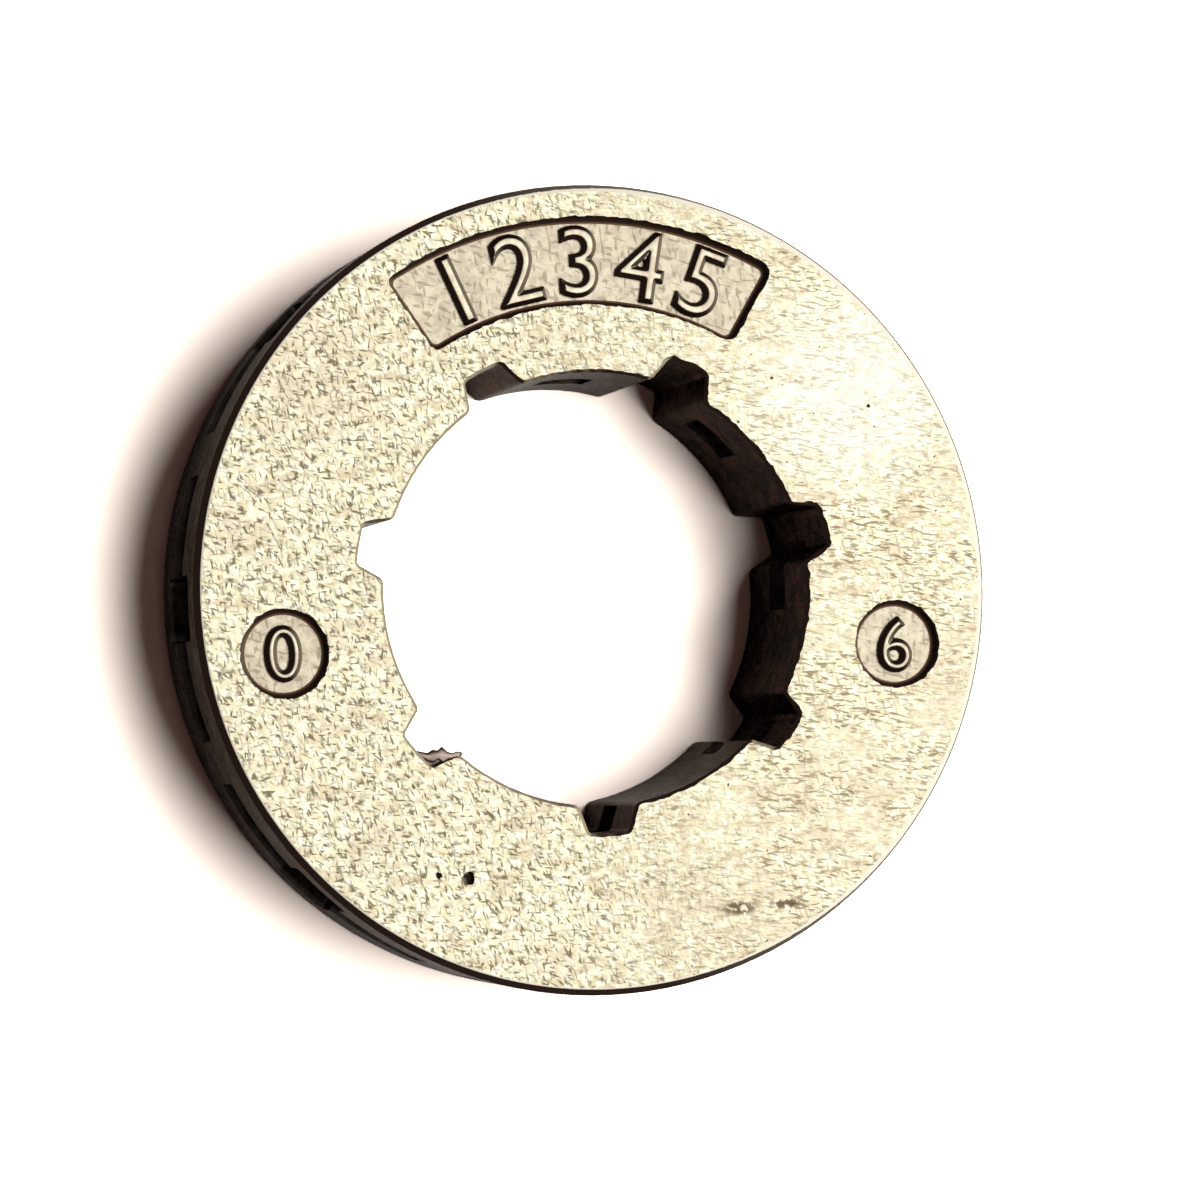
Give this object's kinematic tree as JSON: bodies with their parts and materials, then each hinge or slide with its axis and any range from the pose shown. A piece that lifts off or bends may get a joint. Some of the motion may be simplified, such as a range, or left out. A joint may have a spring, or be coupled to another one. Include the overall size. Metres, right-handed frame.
{
  "type": "rim sprocket",
  "caption": "Flat steel ring with a splined bore, drive link pockets round its rim and marking recesses in one face, which drives a saw chain from a splined hub.",
  "frame": {"origin": "axis of the bore in the plane of the lower face, which the ring lies on", "axes": "+Z along the bore axis, up out of the marked face; +Y towards the middle of the long marking recess"},
  "size_m": [0.037, 0.037, 0.01],
  "materials": {
    "steel": "ground faces with a warm fine grain, dark cast walls"
  },
  "bodies": {
    "root": {"rim_sprocket": "steel"}
  },
  "joints": []
}
